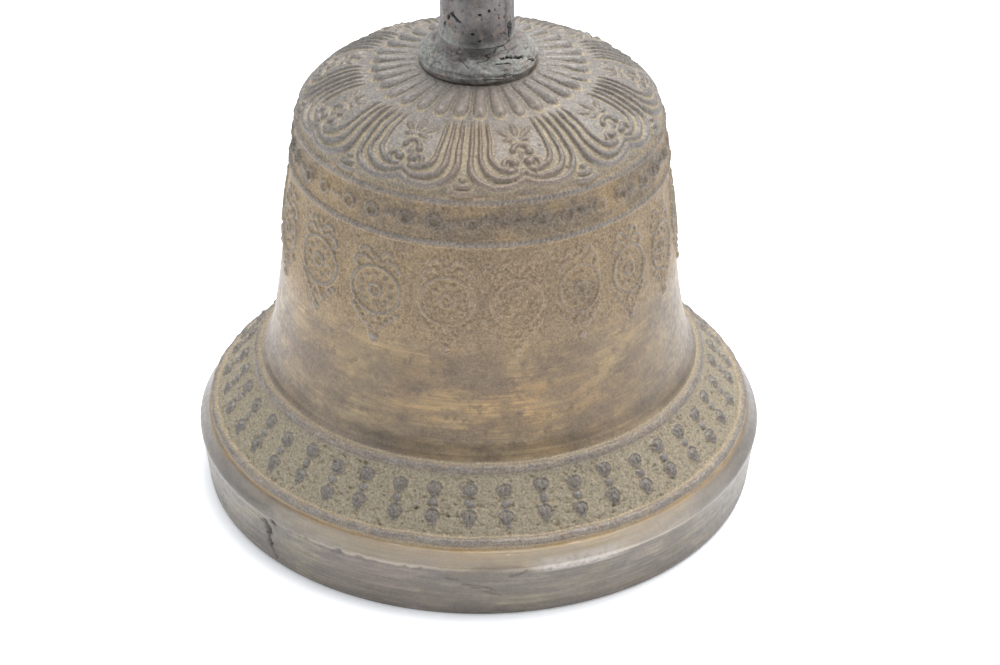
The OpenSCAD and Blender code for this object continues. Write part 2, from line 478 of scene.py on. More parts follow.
def leaf(x, y, center_x, center_y, heading, length, width):
    """A pointed leaf with a vein down its middle."""
    a = math.radians(heading)
    u = ((x - center_x) * math.cos(a) + (y - center_y) * math.sin(a)) / length
    v = np.abs(-(x - center_x) * math.sin(a) + (y - center_y) * math.cos(a)) / width
    body = share(1 - np.abs(u) ** 1.7 - v ** 1.5) ** 0.55
    return body - 0.35 * ridge(v, 0.28) * (body > 0.3)


def raise_line(height, distance, half_width, foot, rise):
    """Lifts the relief along a line, with a steep foot and a rounded top, in place."""
    raise_to(height, np.where(distance < half_width, foot + rise * ridge(distance, half_width), 0))


def petals(turn, s):
    """Lotus petals: three nested ribs whose inner one ends in curls, with a leaf scroll inside."""
    offset, _ = turn_offset(turn, PETALS, PETAL_TURN)
    x = offset * TAU * PETAL_R + 0.25 * noise(turn, s, 40, 6.0, 11, 2)
    y = s + 0.2 * noise(turn, s, 36, 5.0, 12, 2)
    right = np.abs(x)
    zone = window(PETAL_TOP - 0.6, PETAL_TOP + 2.4, PETAL_END + 0.5, PETAL_END + 1.2, s)
    inside = ridge(x, 7.4) * smooth(PETAL_TOP, 12, s) * (1 - smooth(15.5, 19.5, s))
    height = 0.28 * inside
    outer = petal_rib(6.85, 19.9, 3.6, 0.95)
    middle = petal_rib(5.45, 18.7, 3.1, 0.95)
    inner = petal_rib(4.1, 17.45, 2.5, 0.0)[:-4]
    hook = curl(1.5, 16.5, 1.15, 0.55, 90, -250)
    inner += hook
    swell = 1 + 0.25 * smooth(14.5, 18.5, y) * (1 - 0.4 * smooth(4.5, 6.5, right))
    for path, width, tall in ((outer, 0.46, 0.62), (middle, 0.42, 0.55), (inner, 0.44, 0.58)):
        rib = ridge(distance_to(right, y, path) / swell, width)
        raise_to(height, 0.1 * inside + tall * rib)
    head_x, head_y = hook[-1]
    raise_to(height, 0.85 * mound(right - head_x, y - head_y, 0.85, 0.75))
    knob = curl(0.2, 14.6, 1.15, 1.15, 195, 170)
    raise_line(height, distance_to(x, y, knob), 0.44, 0.25, 0.45)
    for end_x, end_y, size in ((*knob[0], 0.62), (*knob[-1], 0.72)):
        raise_to(height, 0.8 * mound(x - end_x, y - end_y, size, size))
    raise_to(height, 0.5 * mound(x - 0.2, y - 15.2, 0.6, 0.9))
    for place in PALMETTE:
        raise_to(height, 0.2 * inside + 0.5 * leaf(x, y, *place))
    groove = ridge(7.68 - right, 0.45) * (1 - smooth(16.5, 18, s))
    return (height - 0.16 * groove) * zone


def bud_piles(turn, s):
    """A small pile of crescents between each two petals."""
    offset, _ = turn_offset(turn, PETALS, PETAL_TURN + 0.5 / PETALS)
    x = offset * TAU * PILE_R
    height = 0.72 * mound(x, s - 20.6, 1.9, 0.75)
    raise_to(height, 0.8 * mound(x, s - 19.7, 1.35, 0.6))
    raise_to(height, 0.8 * mound(x, s - 18.8, 0.6, 0.5))
    return height - 0.4 * ridge(s - 20.15 + 0.18 * x * x, 0.2) * (np.abs(x) < 1.5)


def rope(turn, s, place):
    """A raised cord with slanting strands."""
    wave = 0.08 * noise_round(turn, 60, 31, 2)
    d = s - place - wave
    strand = 0.5 + 0.5 * np.cos(TAU * (turn * STRANDS + d * 0.55))
    uneven = 0.85 + 0.35 * noise_round(turn, 50, 33, 3)
    return ridge(d, 0.6) * (0.3 + 0.32 * strand) * uneven


def chain(turn, s):
    """Groups of ring, oval and ring between the two cords."""
    offset, _ = turn_offset(turn, MEDALLIONS, 13 / 360)
    x = offset * TAU * CHAIN_R
    y = s - CHAIN
    height = 0.36 * mound(x, y, 1.1, 0.72)
    for side in (-1, 1):
        height += 0.5 * ring(x - 2.8 * side, y, 0.9, 0.42)
        height += 0.25 * mound(x - 2.8 * side, y, 0.4, 0.4)
    return height


def medallion_place(turn):
    """Offset in turns and number of the nearest medallion; they aren't quite evenly spaced."""
    bend = (-1.5 + 3.0 * np.cos(2 * TAU * turn)) / 360
    return turn_offset(turn - bend, MEDALLIONS, -10 / 360)


def medallions(turn, s):
    """Round medallions with a leaf spray above and a V of beads below."""
    offset, number = medallion_place(turn)
    lift = 0.35 * np.sin(number * 1.9)
    x = offset * TAU * MEDALLION_R + 0.12 * noise(turn, s, 90, 3.0, 41, 2)
    y = s - MEDALLION - lift
    right = np.abs(x)
    height = 0.42 * ring(x, y, 3.75, 0.32)
    height += 0.40 * ring(x, y, 0.95, 0.36) + 0.28 * mound(x, y, 0.45, 0.45)
    for k in range(10):
        a = TAU * (k + 0.5 * (number % 2)) / 10
        height += 0.30 * mound(x - 2.35 * np.cos(a), y - 2.35 * np.sin(a), 0.5, 0.46)
    spray = ([(0.8, -4.3), (1.9, -5.0), (3.0, -4.6), (3.5, -3.7), (3.0, -3.3)],
             [(0.5, -5.4), (1.3, -6.3), (2.2, -6.2), (2.5, -5.6)])
    for path in spray:
        height += 0.34 * ridge(distance_to(right, y, path), 0.42)
    height += 0.38 * mound(x, y + 4.9, 0.66, 0.85)
    height += 0.32 * mound(x, y + 6.5, 0.5, 0.55)
    for k in range(5):
        t = k / 5
        height += 0.38 * mound(right - 3.3 * (1 - t), y - 3.5 - 3.7 * t, 0.56, 0.54)
    height += 0.30 * ring(x, y - 5.0, 0.8, 0.36)
    height += 0.48 * mound(x, y - 7.7, 0.8, 0.85)
    return height


def wear_of_medallions(turn, s):
    """1 where the upper relief is crisp, less where hands have rubbed it away at the front."""
    front = near(degrees(turn), 8, 30)
    patchy = 0.5 + 0.5 * noise(turn, s, 14, 9.0, 51, 2)
    return np.clip(1 - front * (0.3 + 0.3 * patchy), 0.3, 1)


def buds(turn, s, radius):
    """Bud, bead and bud down the sloping band, on pebbled ground."""
    offset, number = turn_offset(turn, BUDS, -1.5 / 360)
    shift = 0.3 * np.sin(number * 2.7)
    ragged = 0.22 * noise(turn, s, 220, 1.1, 64, 3)
    x = offset * TAU * radius - 0.15 * np.sin(number * 4.1) + ragged
    y = s - shift + 0.8 * ragged
    out_upper = (x / 1.24) ** 2 + ((y - 67.4 + 0.14 * x * x) / 1.2) ** 2
    tip = 0.42 * np.clip(y - 71.3, 0, None)
    out_lower = (x * (1 + tip) / 1.3) ** 2 + ((y - 71.6) / 1.42) ** 2
    upper = share(1 - out_upper ** 1.6) ** 0.6
    lower = share(1 - out_lower ** 1.6) ** 0.6
    contour = ridge(out_upper - 0.46, 0.25) + ridge(out_lower - 0.46, 0.25)
    seam = ridge(x, 0.17) * (np.minimum(out_upper, out_lower) < 0.4)
    bead = mound(x, y - 69.4, 0.8, 0.66)
    cast = 1 + 0.35 * noise(turn, s, 300, 1.0, 62, 2)
    height = 0.68 * (upper + lower) - (0.42 * contour + 0.34 * seam)
    height = np.maximum(height, 0.54 * bead) * cast
    clear = np.maximum(np.maximum(upper, lower), bead) > 0.02
    return height, clear


def pebbles(turn, s):
    """Rough ground of small bumps and pits."""
    coarse = noise(turn, s, 200, 1.3, 61, 3)
    pits = share(noise(turn, s, 200, 0.7, 63, 2) - 0.26)
    dense = np.clip(0.6 + 0.7 * noise(turn, s, 44, 4.0, 67, 2), 0.2, 1)
    return (0.18 * coarse - 0.85 * pits) * dense


def rim_ridges(turn, s):
    """The two rounded ridges that border the sloping band, and the groove outside the outer one."""
    rough = 0.95 + 0.25 * noise(turn, s, 120, 0.9, 65, 4)
    wander = 0.12 * noise_round(turn, 40, 66, 3)
    inner = ridge(s - INNER_RIDGE + wander, 0.82)
    outer = ridge(s - OUTER_RIDGE + wander, 0.72)
    groove = ridge(s - OUTER_RIDGE - 1.1, 0.3)
    lip = ridge(s - INNER_RIDGE + 1.55, 0.5)
    return 0.62 * inner * rough + 0.72 * outer * rough - 0.2 * groove + 0.16 * lip


# Fine cracks at the front of the rim, as lines of (distance round the rim, s)
HAIR_CRACKS = [
    [(-2.0, 82.3), (0.6, 82.6)],
    [(-0.6, 83.0), (1.6, 82.9), (2.6, 83.4)],
    [(1.2, 83.8), (3.6, 84.4)],
    [(5.2, 80.8), (6.8, 80.4), (7.8, 79.8)],
    [(-4.6, 81.3), (-2.8, 81.5)],
]


def rim_damage(turn, s):
    """Nicks along the rim's corner and one crack down its wall."""
    angle = degrees(turn)
    jagged = noise_round(turn, 150, 71, 4)
    chipped = window(-50, -42, -12, -2, angle)
    elsewhere = 0.12 + 0.12 * noise_round(turn, 9, 72, 2)
    depth = (chipped + share(elsewhere) * (1 - chipped)) * np.clip(jagged + 0.25, 0, 1.2)
    nick = -0.4 * depth * ridge(s - RIM_CORNER - 0.1 + 0.3 * jagged, 0.6)
    crack_line = -46.6 + 0.3 * (s - 80) + 1.2 * noise(turn * 0 + 0.3, s, 8, 2.0, 73, 3)
    across = (angle - crack_line) * math.radians(1) * RIM_R + 0.3 * noise(turn, s, 500, 0.5, 74, 3)
    wide = 0.3 + 0.12 * np.sin(s * 2.9)
    crack = -0.7 * ridge(across, wide) * smooth(80.2, 80.8, s) * (1 - smooth(86.8, 87.8, s))
    pits = mound(across - 0.1, s - 82.0, 0.95, 1.2) + mound(across + 0.1, s - 84.7, 0.6, 0.6)
    pits += mound(across - 2.3, s - 80.1, 0.55, 0.5) + mound(across + 1.0, s - 81.0, 0.4, 0.3)
    for path in HAIR_CRACKS:
        away = distance_to(sideways(turn, RIM_R) + 0.3 * jagged, s + 0.15 * jagged, path)
        crack -= 0.22 * ridge(away, 0.15)
    return nick + crack - 0.4 * pits


def bell_relief(turn, s, radius):
    """Height of the relief over the turned outline, then masks of the band's ground, of its
    buds, and of how crisp the upper relief is."""
    wear = wear_of_medallions(turn, s)
    height = gadroons(turn, s, radius)
    rows = (s[:, 0] > PETAL_TOP - 0.5) & (s[:, 0] < PETAL_END + 1.6)
    height[rows] += petals(turn[rows], s[rows])
    raise_to(height, 0.8 * bud_piles(turn, s))
    fade = 0.45 + 0.55 * wear
    height += (rope(turn, s, UPPER_ROPE) + rope(turn, s, LOWER_ROPE)) * (0.7 + 0.3 * wear)
    height += chain(turn, s) * fade
    rows = (s[:, 0] > LOWER_ROPE + 0.8) & (s[:, 0] < RELIEF_END + 1)
    height[rows] += medallions(turn[rows], s[rows]) * wear[rows]
    rows = (s[:, 0] > BAND[0] - 0.5) & (s[:, 0] < BAND[1] + 0.5)
    height += rim_ridges(turn, s)
    ground = np.zeros(s.shape)
    raised = np.zeros(s.shape)
    motif, clear = buds(turn[rows], s[rows], radius[rows])
    edge = window(BAND[0], BAND[0] + 0.7, BAND[1] - 0.7, BAND[1], s[rows])
    height[rows] += (motif + pebbles(turn[rows], s[rows]) * np.where(clear, 0.25, 1.0)) * edge
    ground[rows] = np.where(clear, 0, 1) * edge
    raised[rows] = np.where(clear, 1, 0) * edge
    return height, ground, raised, wear


def casting_skin(turn, s):
    """Small unevenness of the whole casting, strongest on the relief."""
    rough = 1 - 0.85 * window(RELIEF_END - 3, RELIEF_END + 1, INNER_RIDGE - 1, INNER_RIDGE, s)
    rough *= 1 - 0.75 * smooth(OUTER_RIDGE + 0.6, OUTER_RIDGE + 1.2, s)
    skin = 0.035 * noise(turn, s, 300, 0.75, 81, 3)
    pits = share(noise(turn, s, 240, 0.9, 83, 2) - 0.62)
    swell = 0.10 * noise(turn, s, 8, 22.0, 84, 2)
    patchy = 0.7 + 0.7 * noise(turn, s, 18, 6.0, 85, 3)
    return skin * rough * patchy - 0.55 * pits * rough + swell


def blurred(grid, row_reach, column_reach):
    """The grid with both directions smoothed by a box run twice."""
    result = grid
    for _ in range(2):
        padded = np.concatenate([result[:, -column_reach:], result, result[:, :column_reach]], 1)
        total = np.cumsum(np.pad(padded, ((0, 0), (1, 0))), 1)
        width = 2 * column_reach + 1
        result = (total[:, width:] - total[:, :-width]) / width
        padded = np.pad(result, ((row_reach, row_reach), (0, 0)), mode="edge")
        total = np.cumsum(np.pad(padded, ((1, 0), (0, 0))), 0)
        width = 2 * row_reach + 1
        result = (total[width:] - total[:-width]) / width
    return result


def inner_face():
    """Radius and height of the bell's inner face and bore, in rows from the foot up."""
    inside = rounded(INSIDE, OUTLINE_STEP, 1.2)
    keep = np.linspace(0, len(inside) - 1, INNER_ROWS).round().astype(int)
    inside = inside[keep]
    along = np.repeat(np.linspace(0, INNER_LENGTH, INNER_ROWS)[:, None], COLUMNS, 1)
    row = np.arange(INNER_ROWS)[:, None]
    uneven = 0.05 * noise(np.arange(COLUMNS) / COLUMNS, along, 60, 3.0, 91, 3)
    uneven *= smooth(0, 3, row) * (1 - smooth(108, 116, row))
    bore = np.array([(BORE_R, CROWN_H - CROWN_T + 0.3), (BORE_R, CROWN_H), (COLLAR_R - 1.5, CROWN_H),
                     (COLLAR_R - 0.6, CROWN_H)])
    radius = np.concatenate([inside[:, :1] - uneven, np.repeat(bore[:, :1], COLUMNS, 1)])
    height = np.concatenate([inside[:, 1:], bore[:, 1:]])
    return radius, np.repeat(height, COLUMNS, 1)


def make_bell():
    """The cast bell with its relief, and the masks that its material reads."""
    rows, radius, height = outline_rows()
    turn, s = np.meshgrid(np.arange(COLUMNS) / COLUMNS, rows)
    normal_r, normal_z = outward(radius, height)
    relief, ground, raised, wear = bell_relief(turn, s, np.repeat(radius[:, None], COLUMNS, 1))
    damage = rim_damage(turn, s)
    skin = casting_skin(turn, s)
    lift = relief + skin + damage
    lift = lift * (1 - smooth(rows[-1] - 1.2, rows[-1] - 0.3, s)) * smooth(0, 1.0, s)
    outer_r = radius[:, None] + normal_r[:, None] * lift
    outer_z = height[:, None] + normal_z[:, None] * lift
    inner_r, inner_z = inner_face()
    points = around_axis(np.concatenate([outer_r, inner_r]), np.concatenate([outer_z, inner_z]), turn[:1])
    piece = grid_mesh("bell_shell", points)

    def padded(mask, within=0.0):
        """The outer face's mask, with one value for the inner face."""
        return np.concatenate([mask, np.full(inner_r.shape, within)])

    crest, recess, rubbed = relief_masks(turn, s, relief, lift - 0.6 * skin, wear)
    wall, slope, worn_and_painted_light, ashen = rim_masks(turn, s, relief)
    polish, stain, tarnish_and_shade = tarnish_and_shade_masks(turn, s, relief, raised, damage, slope)
    paint(piece, "relief", *map(padded, (crest, recess, ground, rubbed)))
    paint(piece, "zones", *map(padded, (polish, stain, tarnish_and_shade)), padded(0 * s, 1.0))
    paint(piece, "rim", *map(padded, (wall, slope, worn_and_painted_light, ashen)))
    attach(piece, "bell")
    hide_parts("bell_body")
    return piece


def on_ridges(s):
    """1 along the two ridges that border the sloping band."""
    return ridge(s - INNER_RIDGE, 1.0) + ridge(s - OUTER_RIDGE, 1.0)


def on_cords(s):
    """1 along the two ropes."""
    return ridge(s - UPPER_ROPE, 0.5) + ridge(s - LOWER_ROPE, 0.5)


def on_crown(s):
    """1 above the upper rope."""
    return 1 - smooth(PETAL_END - 1, UPPER_ROPE + 1, s)


def on_fan(s):
    """1 over the gadroons."""
    return 1 - smooth(GADROON_END, GADROON_END + 1, s)


def relief_masks(turn, s, relief, lift, wear):
    """Crests, recesses, and where the crests are rubbed golden. The recesses take a pale line on each
    ridge's upper lip: dust, and on the inner ridge a painted highlight.
    """
    local = lift - blurred(lift, 4, 5)
    fine = lift - blurred(lift, 1, 2)
    crown = on_crown(s)
    crest = smooth(0.02, 0.2, local) + 0.9 * smooth(0.35, 0.75, relief)
    crest *= 1 - on_ridges(s) * share(0.6 + 0.7 * noise(turn, s, 130, 1.2, 98, 3))
    crest += on_cords(s) * (local > -0.03)
    recess = (0.75 + 0.25 * crown) * smooth(0.01, 0.07, -fine)
    recess += (0.4 + 0.6 * crown) * smooth(0.06, 0.22, -local)
    recess += 0.6 * smooth(0.02, 0.16, -local) * on_fan(s)
    # A pale line along each ridge's upper lip: dust, and on the inner ridge a painted highlight.
    lips = 0.8 * ridge(s - INNER_RIDGE + 0.75, 0.5) + 0.6 * ridge(s - OUTER_RIDGE + 0.75, 0.42)
    recess += lips * share(0.7 + 0.6 * noise(turn, s, 80, 1.5, 94, 3))
    above_band = 1 - 0.85 * smooth(INNER_RIDGE - 1.6, INNER_RIDGE - 1, s)
    return crest, recess, (1 - wear) * (1 - on_cords(s)) * above_band


def rim_masks(turn, s, relief):
    """The rim's wall, the slope above it, shiny worn metal plus painted light on the front gadroons, and
    the ash-grey zones.
    """
    angle = degrees(turn)
    blunt = (1.1 + 0.7 * noise_round(turn, 30, 93, 3)) * near(angle, 1, 11)
    wall = smooth(RIM_CORNER - 0.1 - blunt, RIM_CORNER + 0.3, s)
    slope = smooth(OUTER_RIDGE + 0.9, OUTER_RIDGE + 1.3, s) * (1 - wall)
    scraped = window(9, 16, 24, 34, angle) * ridge(s - RIM_CORNER + 0.4, 1.4)
    lip = (0.35 + 0.5 * noise_round(turn, 40, 97, 3)) * ridge(s - RIM_CORNER + 0.1, 0.3)
    lip *= 1 - 0.9 * near(angle, 1, 12)
    worn_and_painted_light = share(scraped) + np.clip(lip, 0, 0.8)
    # Painted light: lightens the front gadroons under the collar, standing in for light that the handle's
    # shadow takes away there.
    worn_and_painted_light += 0.4 * on_fan(s) * near(angle, 0, 75) * smooth(0.05, 0.45, relief)
    band = smooth(INNER_RIDGE - 1.6, INNER_RIDGE - 1, s) * (1 - slope) * (1 - wall)
    return wall, slope, worn_and_painted_light, on_crown(s) + band * (1 - 0.5 * on_ridges(s))


def tarnish_and_shade_masks(turn, s, relief, raised, damage, slope):
    """The polished waist, the orange stain beside the outer ridge, and a darkening mask: tarnish, with
    painted shade under the ridges, on the gadroons' heads and on the slope at the left front.
    """
    angle = degrees(turn)
    polish = window(RELIEF_END - 6, RELIEF_END + 3, INNER_RIDGE - 1.4, INNER_RIDGE - 0.8, s)
    stain = (0.7 + 0.5 * noise(turn, s, 30, 2.0, 96, 3)) * ridge(s - OUTER_RIDGE - 1.15, 0.45)
    stain += 0.25 * ridge(s - OUTER_RIDGE - 1.9, 1.2) * near(angle, 0, 75)
    cords = window(PETAL_END - 0.5, UPPER_ROPE + 0.8, CHAIN + 1, LOWER_ROPE + 1.5, s)
    cords *= 1 - 0.45 * near(angle, -40, 16)
    foot = window(INNER_RIDGE - 9, INNER_RIDGE - 3, INNER_RIDGE - 1.9, INNER_RIDGE - 1.3, s)
    tarnish_and_shade = 1.1 * cords * (1 - 0.7 * on_cords(s)) + 0.45 * foot
    tarnish_and_shade *= 0.65 + 0.5 * noise(turn, s, 24, 3.0, 95, 3)
    # Painted shade along the lower side of both ridges, where they face down.
    shade_under_ridges = ridge(s - INNER_RIDGE - 0.3, 0.75) + ridge(s - OUTER_RIDGE - 0.1, 0.6)
    tarnish_and_shade += 0.42 * raised + 0.5 * shade_under_ridges * share(0.6 + 1.3 * noise(turn, s, 90, 1.0, 99, 3))
    petal = window(GADROON_END, GADROON_END + 2, PETAL_END - 1, PETAL_END + 1, s)
    tarnish_and_shade += petal * (0.04 + 0.46 * smooth(0.2, 0.5, relief)) + smooth(0.08, 0.35, -damage)
    # Painted shadow on the outer, lower ends of the gadroons' heads.
    tarnish_and_shade += 0.3 * on_fan(s) * smooth(4, 7, s) * smooth(0.3, 0.6, relief)
    # Darker patches at given angles; on the slope at the left front this is painted shade.
    places = slope * (0.75 * near(angle, -48, 22) + 0.55 * near(angle, 78, 26))
    places += polish * (0.55 * near(angle, 64, 20) + 0.5 * near(angle, -27, 15) * smooth(44, 50, s))
    places += 0.6 * near(angle, 31, 9) * near(s, MEDALLION + 1, 4)
    tarnish_and_shade += places * (0.8 + 0.5 * noise(turn, s, 40, 2.0, 92, 3))
    return polish, stain, tarnish_and_shade


# ---------------------------------------------------------------- the handle

# Radii at which an angle round a handle section is turned into a distance
COLLAR_MIDDLE_R = 7.8
NECK_R = 5.5
BEAD_R = 6.9
BELT_R = 8.6


def turned_piece(name, outline, relief, columns, step, reach=0.3, soften=(0.35, 0.35), hole=None,
                 body="bell", finish="handle_metal"):
    """A turned section, from the outline down its outside, with relief on it that fades over
    the `soften` lengths at its two ends. `hole` is the outline that closes it, from the
    outside's foot back up to the outline's start.

    relief(turn, s, height) gives the lift in millimetres and two masks: cracks and verdigris."""
    curve = rounded(outline, OUTLINE_STEP, reach)
    length = along_outline(curve)
    rows = np.linspace(0, length[-1], max(12, round(length[-1] / step)))
    radius = np.interp(rows, length, curve[:, 0])
    height = np.interp(rows, length, curve[:, 1])
    turn, s = np.meshgrid(np.arange(columns) / columns, rows)
    normal_r, normal_z = outward(radius, height)
    top_fade, foot_fade = soften
    lift, crack, green = relief(turn, s, height[:, None] + 0 * turn)
    lift = lift * window(-0.01, top_fade, rows[-1] - foot_fade, rows[-1] + 0.01, s)
    all_r = radius[:, None] + normal_r[:, None] * lift
    all_z = height[:, None] + normal_z[:, None] * lift
    if hole is None:
        hole = [(BORE_R, outline[-1][1]), (BORE_R, outline[0][1])]
    path = np.array([outline[-1]] + hole + [outline[0]], float)
    on_axis = outline[0][0] < 1e-6
    if on_axis:
        path = path[:-1]
    spans = np.hypot(*np.diff(path, axis=0).T)
    rest = []
    for start, end, span in zip(path[:-1], path[1:], spans):
        count = max(1, round(span / 0.8))
        rest += [start + (end - start) * k / count for k in range(1, count + 1)]
    rest = np.array(rest if on_axis else rest[:-1])
    all_r = np.concatenate([all_r, np.repeat(rest[:, :1], columns, 1)])
    all_z = np.concatenate([all_z, np.repeat(rest[:, 1:], columns, 1)])
    piece = grid_mesh(name, around_axis(all_r, all_z, turn[:1]), closed=not on_axis)
    local = lift - blurred(lift, 4, 5)
    blank = np.zeros((len(rest), columns))
    masks = (smooth(0.01, 0.16, local), smooth(0.01, 0.12, -local), crack, green)
    paint(piece, "relief", *[np.concatenate([mask + 0 * s, blank]) for mask in masks])
    if on_axis:
        weld_poles(piece, len(all_r), columns)
    return stand_in(piece, name, body)


def stand_in(piece, node, body):
    """Lets a piece ride on a body in place of a CAD node."""
    piece.name = node + "_shell"
    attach(piece, body)
    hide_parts(node)
    return piece


def worn_skin(turn, s, seed, amount=1.0):
    """Cast and worn unevenness with a few pits."""
    skin = 0.05 * noise(turn, s, 46, 0.9, seed, 4)
    pits = share(noise(turn, s, 60, 0.7, seed + 7, 2) - 0.55)
    return amount * (skin - 0.5 * pits)


def along_line(x, y, path, half_width):
    """1 along the middle of a line and 0 from half_width out."""
    return ridge(distance_to(x, y, path), half_width)


def collar_cracks(turn, s, x):
    """A long crack in two lengths and a short one above it, at the front right."""
    ragged = 0.18 * noise(turn, s, 40, 1.2, 210, 3) + 0.12 * noise(turn, s, 120, 0.5, 215, 2)
    cracks = along_line(x, s + ragged, [(3.5, 2.0), (4.8, 2.1), (6.2, 2.4), (7.6, 2.9)], 0.26)
    cracks += along_line(x, s + ragged, [(8.2, 3.7), (9.2, 4.3), (9.9, 4.8)], 0.14)
    cracks += along_line(x, s + 0.6 * ragged, [(2.4, 2.8), (3.4, 2.95), (4.5, 3.1)], 0.1)
    broken = smooth(-0.35, 0.0, noise(turn, s, 100, 0.5, 207, 2))
    return share(cracks) * (0.4 + 0.6 * broken)


def collar_relief(turn, s, height):
    """A lumpy dome over an upright band, with three cracks at the front right."""
    x = sideways(turn, COLLAR_MIDDLE_R)
    crack = collar_cracks(turn, s, x)
    lumps = 0.42 * noise(turn, s, 8, 2.4, 211, 4) + 0.12 * noise(turn, s, 34, 1.0, 216, 3)
    lumps *= smooth(0, 1.5, s) * (0.35 + 0.65 * smooth(71.5, 72.8, height))
    lumps -= (0.2 + 0.3 * (1 - smooth(0.0, 2.0, s))) * np.sin(TAU * turn)
    slant = x + 1.5 * (height - 73)
    folds = sum(tall * ridge(slant - place, wide)
                for place, wide, tall in ((-10.4, 0.9, 0.26), (-6.9, 0.8, 0.28), (1.0, 0.7, 0.24)))
    folds *= window(72.0, 73.2, 74.6, 75.4, height)
    crease = ridge(height - 72.6 - 0.2 * noise_round(turn, 9, 212, 2), 0.3)
    crease *= 0.55 + 0.4 * noise_round(turn, 12, 213, 2)
    wrinkle = ridge(noise(turn, s, 11, 2.2, 219, 2) - 0.05, 0.07) * smooth(71.6, 72.2, height)
    wrinkle *= smooth(-0.2, 0.3, noise(turn, s, 7, 3.0, 209, 2))
    lift = lumps + folds - 0.3 * crease - 0.2 * wrinkle - 0.6 * crack + worn_skin(turn, s, 214)
    patch = 0.7 + mound(x - 5.8, height - 73.1, 1.6, 0.9) + 0.8 * mound(x + 9.5, height - 73.2, 4.0, 2.0)
    patch += 0.8 * noise(turn, s, 18, 1.5, 217, 3)
    foot = ridge(height - 71.3, 0.45) * share(0.5 + 0.9 * noise_round(turn, 14, 218, 3))
    band = 1 - smooth(72.2, 72.7, height)
    mauve = band * share(0.12 + 0.25 * noise(turn, s, 30, 1.0, 208, 3))
    above = smooth(74.3, 74.8, height)
    soot = 0.8 * above * mound(x, height - 76.4, 4.6, 2.6)
    cracks = share(crack * 1.4 + 0.5 * foot + mauve + 0.45 * wrinkle + soot)
    return lift, cracks, share(patch - 0.5 * band - 0.4 * above)


def neck_cracks(turn, s, height, x, jitter):
    """A forked crack and small pits on the left, and a broken slot beside the seam."""
    ragged = x + jitter + 0.12 * noise(turn, s, 90, 0.5, 223, 2)
    broken = smooth(-0.4, 0.1, noise(turn, s, 60, 0.7, 227, 2))
    fork = along_line(ragged, height + 2 * jitter, [(-4.3, 80.5), (-3.9, 80.4), (-3.2, 79.7)], 0.34)
    fork += broken * along_line(ragged, height, [(-4.6, 80.3), (-5.4, 79.4), (-5.8, 78.2)], 0.3)
    slot = along_line(x + jitter * 3, height, [(5.6, 75.9), (5.7, 77.2), (5.3, 78.4)], 0.8)
    spots = ((0, 81.2, 0.32, 0.2), (1.5, 81.6, 0.2, 0.2), (-1.0, 78.0, 0.32, 0.18), (0, 76.9, 0.32, 0.16))
    pits = sum(mound(ragged - place, height - level, wide, tall) for place, level, wide, tall in spots)
    return fork + slot * (0.6 + 0.4 * broken) + pits


def neck_relief(turn, s, height):
    """A plain neck with a lapped seam on its right and a forked crack on its left."""
    x = sideways(turn, NECK_R)
    jitter = 0.12 * noise(turn, s, 26, 1.0, 220, 3)
    wavy = x + 2.5 * jitter
    seam = window(4.2, 4.8, 6.2, 6.8, wavy)
    lip = ridge(wavy - 4.4, 0.22) * (0.5 + 0.5 * noise(turn, s, 20, 1.5, 225, 2))
    crack = share(neck_cracks(turn, s, height, x, jitter) + 0.12 * lip)
    facets = 0.10 * np.cos(TAU * turn * 7 + 0.6) + 0.16 * noise(turn, s, 5, 5.0, 221, 3)
    lean = -0.5 * np.sin(TAU * turn) * smooth(0, 3.5, s)
    near_foot = 1 - smooth(s.max() - 1.2, s.max() - 0.1, s)
    lift = (facets + 0.22 * seam - 0.5 * crack + worn_skin(turn, s, 222)) * near_foot + lean
    soot = 0.85 * mound(x - 0.2, height - 76.6, 3.6, 2.6) * (0.7 + 0.6 * noise(turn, s, 20, 1.6, 224, 3))
    soot += 0.5 * mound(x + 1.6, height - 83.0, 1.9, 3.0) * (0.7 + 0.6 * noise(turn, s, 16, 1.4, 226, 3))
    green = mound(x + 5.0, height - 76.8, 1.9, 1.6) + 0.6 * ridge(height - 75.8, 0.6)
    return lift, np.maximum(crack, share(soot)), share(green)


def bead_relief(count):
    """A row of round beads."""
    def relief(turn, s, height):
        offset, number = turn_offset(turn, count, 0.5 / count)
        x = offset * TAU * BEAD_R
        size = 1.18 + 0.05 * np.sin(number * 2.3)
        y = height - height.mean()
        bead = np.sqrt(np.clip(size ** 2 - x ** 2 - y ** 2, 0, None))
        return bead + worn_skin(turn, s, 230, 0.5), 0, 0.25
    return relief


def lotus_relief(count, tips_down):
    """Two rows of pointed petals, ribbed and bordered, that point down or up."""
    def relief(turn, s, height):
        length = s.max()
        toward_tip = s / length if tips_down else 1 - s / length
        v = np.clip(toward_tip / 0.80, 0, 1.2)
        lift = np.zeros(s.shape)
        for phase, tall, reach in ((0.5, 0.30, 1.04), (0.0, 0.85, 0.96)):
            u = np.abs(turn_offset(turn, count, phase / count)[0]) * 2 * count
            t = share(v / reach)
            width = 0.98 * share(t + 0.35) ** 0.5 * (1 - t ** 3.2) ** 0.55 + 1e-3
            inside = share(1 - u / width)
            body = tall * smooth(0, 0.30, inside) * (0.55 + 0.45 * t)
            border = 0.22 * ridge(inside - 0.16, 0.13) - 0.16 * ridge(inside - 0.36, 0.10)
            rib = 0.20 * ridge(u, 0.14) * (t < 0.9)
            raise_to(lift, np.where(inside > 0, body + border + rib, 0))
        return lift + worn_skin(turn, s, 240 + count, 0.6), 0, 0.3 * (lift < 0.15)
    return relief


